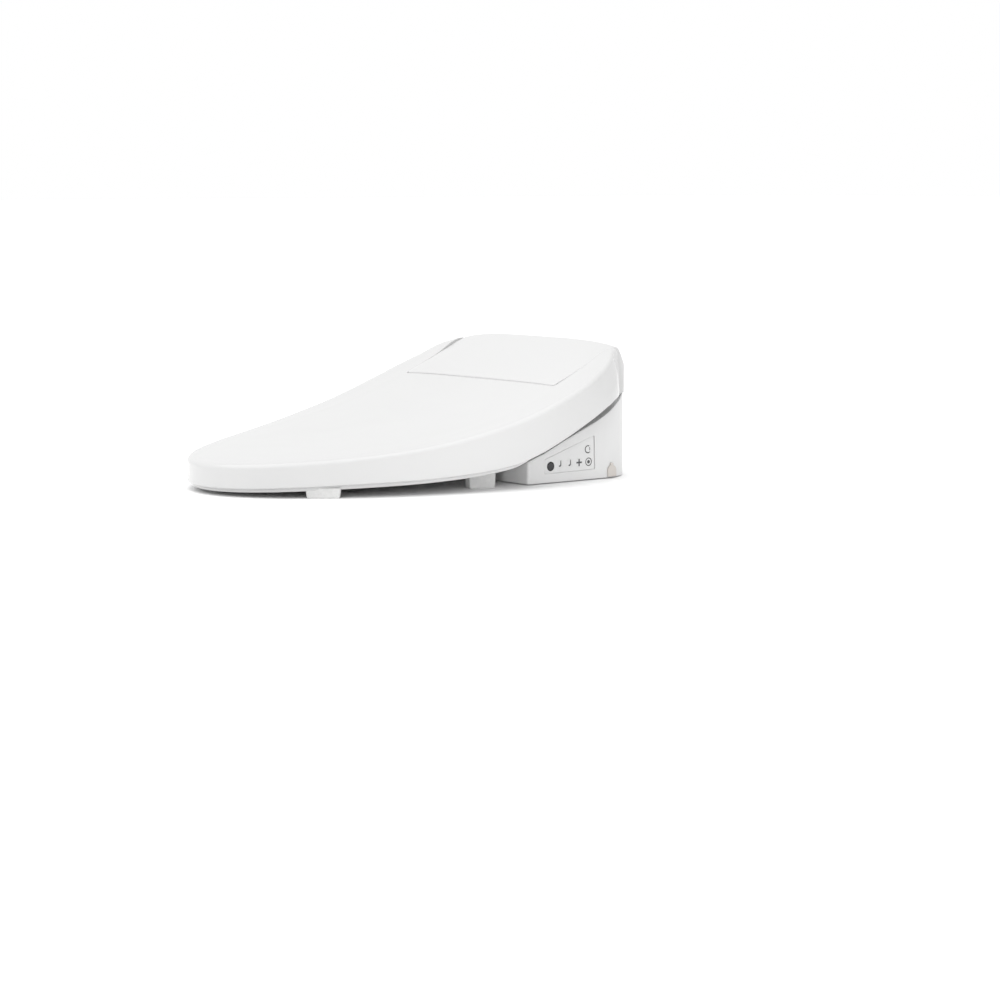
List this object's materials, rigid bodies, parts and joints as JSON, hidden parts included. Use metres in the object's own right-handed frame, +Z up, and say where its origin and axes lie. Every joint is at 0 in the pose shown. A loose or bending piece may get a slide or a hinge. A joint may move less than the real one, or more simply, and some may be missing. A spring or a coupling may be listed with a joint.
{
  "type": "electric bidet seat",
  "caption": "Elongated electric bidet seat with a lid and heated seat on a common hinge line, side control keys and an extending wash nozzle.",
  "frame": {"origin": "midpoint between the two mounting bolt holes, on the plane of the bowl's rim", "axes": "+Z up; the front of the seat faces -Y; +X is the sitter's left, the side with the control panel"},
  "size_m": [0.387, 0.526, 0.1605],
  "materials": {
    "lid_plastic": "white moulded plastic, soft gloss",
    "cover_plastic": "white moulded plastic, satin gloss",
    "housing_plastic": "white moulded plastic, fine texture",
    "seat_plastic": "white warm-touch seat plastic, gloss",
    "plate_plastic": "pale grey structural plastic",
    "panel_film": "satin panel with printed icons",
    "key_plastic": "satin key caps",
    "smoked_lens": "infrared-passing black lens",
    "clear_lens": "milky light guide",
    "button_plastic": "warm beige button",
    "dark_plastic": "black glass-filled plastic",
    "grey_plastic": "grey plastic",
    "ivory_plastic": "ivory acetal",
    "rubber_white": "white elastomer",
    "rubber_grey": "grey elastomer",
    "steel": "plain steel",
    "motor_can": "zinc-plated can",
    "chrome_fitting": "plated brass",
    "mesh_metal": "stainless strainer",
    "circuit_board": "green solder mask",
    "foil_heater": "foil heating element",
    "heater_element": "finned heating element",
    "carbon_filter": "carbon cartridge",
    "clear_tube": "silicone tube"
  },
  "bodies": {
    "housing": {"mounting_plate": "plate_plastic", "base_tub": "housing_plastic", "top_cover": "cover_plastic", "case_screws": "steel", "rubber_feet": "rubber_grey", "rear_vent": "housing_plastic", "panel_plate": "panel_film", "panel_board": "circuit_board", "ir_window": "smoked_lens", "cord_gland": "rubber_grey", "water_inlet": "chrome_fitting", "inlet_filter": "mesh_metal", "solenoid_valve": "dark_plastic", "flow_sensor": "ivory_plastic", "heater_tank": "ivory_plastic", "diverter_valve": "ivory_plastic", "diverter_motor": "motor_can", "water_tubes": "clear_tube", "nozzle_guide": "grey_plastic", "nozzle_motor": "motor_can", "blower_housing": "dark_plastic", "blower_motor": "motor_can", "dryer_duct": "grey_plastic", "dryer_heater": "heater_element", "deodorizer_housing": "dark_plastic", "deodorizer_motor": "motor_can", "deodorizer_cartridge": "carbon_filter", "main_board": "circuit_board", "power_board": "circuit_board", "presence_sensor": "smoked_lens", "night_light": "clear_lens", "lid_damper": "grey_plastic", "seat_damper": "grey_plastic"},
    "seat": {"seat_upper_shell": "seat_plastic", "seat_lower_shell": "seat_plastic", "seat_heater": "foil_heater", "seat_bumpers": "rubber_white", "seat_hinge_shaft": "steel", "seat_hinge_caps": "plate_plastic"},
    "lid": {"lid_shell": "lid_plastic", "lid_bumpers": "rubber_white", "lid_hinge_shaft": "steel"},
    "nozzle": {"nozzle_wand": "grey_plastic", "nozzle_tip": "cover_plastic"},
    "pinion": {"drive_pinion": "ivory_plastic"},
    "blower_wheel": {"blower_impeller": "dark_plastic"},
    "deodorizer_wheel": {"deodorizer_fan": "dark_plastic"},
    "dryer_flap": {"dryer_flap": "cover_plastic"},
    "key_rear_wash": {"key_rear_wash": "key_plastic"},
    "key_front_wash": {"key_front_wash": "key_plastic"},
    "key_plus": {"key_plus": "key_plastic"},
    "key_stop": {"key_stop": "key_plastic"},
    "key_power": {"key_power": "key_plastic"},
    "release_button": {"release_button": "button_plastic"}
  },
  "joints": [
    {"name": "seat_hinge", "type": "hinge", "parent": "housing", "child": "seat", "pos_m": [0, -0.01, 0.122], "axis": [-1, 0, 0], "range_deg": [0, 95]},
    {"name": "lid_hinge", "type": "hinge", "parent": "seat", "child": "lid", "pos_m": [0, -0.01, 0.122], "axis": [1, 0, 0], "range_deg": [-100, 0]},
    {"name": "nozzle_slide", "type": "slide", "parent": "housing", "child": "nozzle", "axis": [0, -0.9397, -0.342], "range_m": [0, 0.07]},
    {"name": "pinion_spin", "type": "hinge", "parent": "housing", "child": "pinion", "pos_m": [0, -0.05879, 0.0737], "axis": [-1, 0, 0], "range_deg": [0, 505]},
    {"name": "dryer_flap_hinge", "type": "hinge", "parent": "housing", "child": "dryer_flap", "pos_m": [0.048, -0.1295, 0.031], "axis": [-1, 0, 0], "range_deg": [0, 70]},
    {"name": "blower_spin", "type": "hinge", "parent": "housing", "child": "blower_wheel", "pos_m": [0.064, -0.045, 0.03], "axis": [0, 0, 1], "continuous": true},
    {"name": "deodorizer_spin", "type": "hinge", "parent": "housing", "child": "deodorizer_wheel", "pos_m": [-0.08, 0.022, 0.04], "axis": [0, 1, 0], "continuous": true},
    {"name": "key_rear_wash_press", "type": "slide", "parent": "housing", "child": "key_rear_wash", "axis": [-1, 0, 0], "range_m": [0, 0.0006], "stiffness_N_per_m": 1500},
    {"name": "key_front_wash_press", "type": "slide", "parent": "housing", "child": "key_front_wash", "axis": [-1, 0, 0], "range_m": [0, 0.0006], "stiffness_N_per_m": 1500},
    {"name": "key_plus_press", "type": "slide", "parent": "housing", "child": "key_plus", "axis": [-1, 0, 0], "range_m": [0, 0.0006], "stiffness_N_per_m": 1500},
    {"name": "key_stop_press", "type": "slide", "parent": "housing", "child": "key_stop", "axis": [-1, 0, 0], "range_m": [0, 0.0006], "stiffness_N_per_m": 1500},
    {"name": "key_power_press", "type": "slide", "parent": "housing", "child": "key_power", "axis": [-1, 0, 0], "range_m": [0, 0.0006], "stiffness_N_per_m": 1500},
    {"name": "release_press", "type": "slide", "parent": "housing", "child": "release_button", "axis": [-1, 0, 0], "range_m": [0, 0.003], "stiffness_N_per_m": 600}
  ],
  "couplings": [
    {"joint": "pinion_spin", "follows": "nozzle_slide", "rad_per_m": 125}
  ]
}
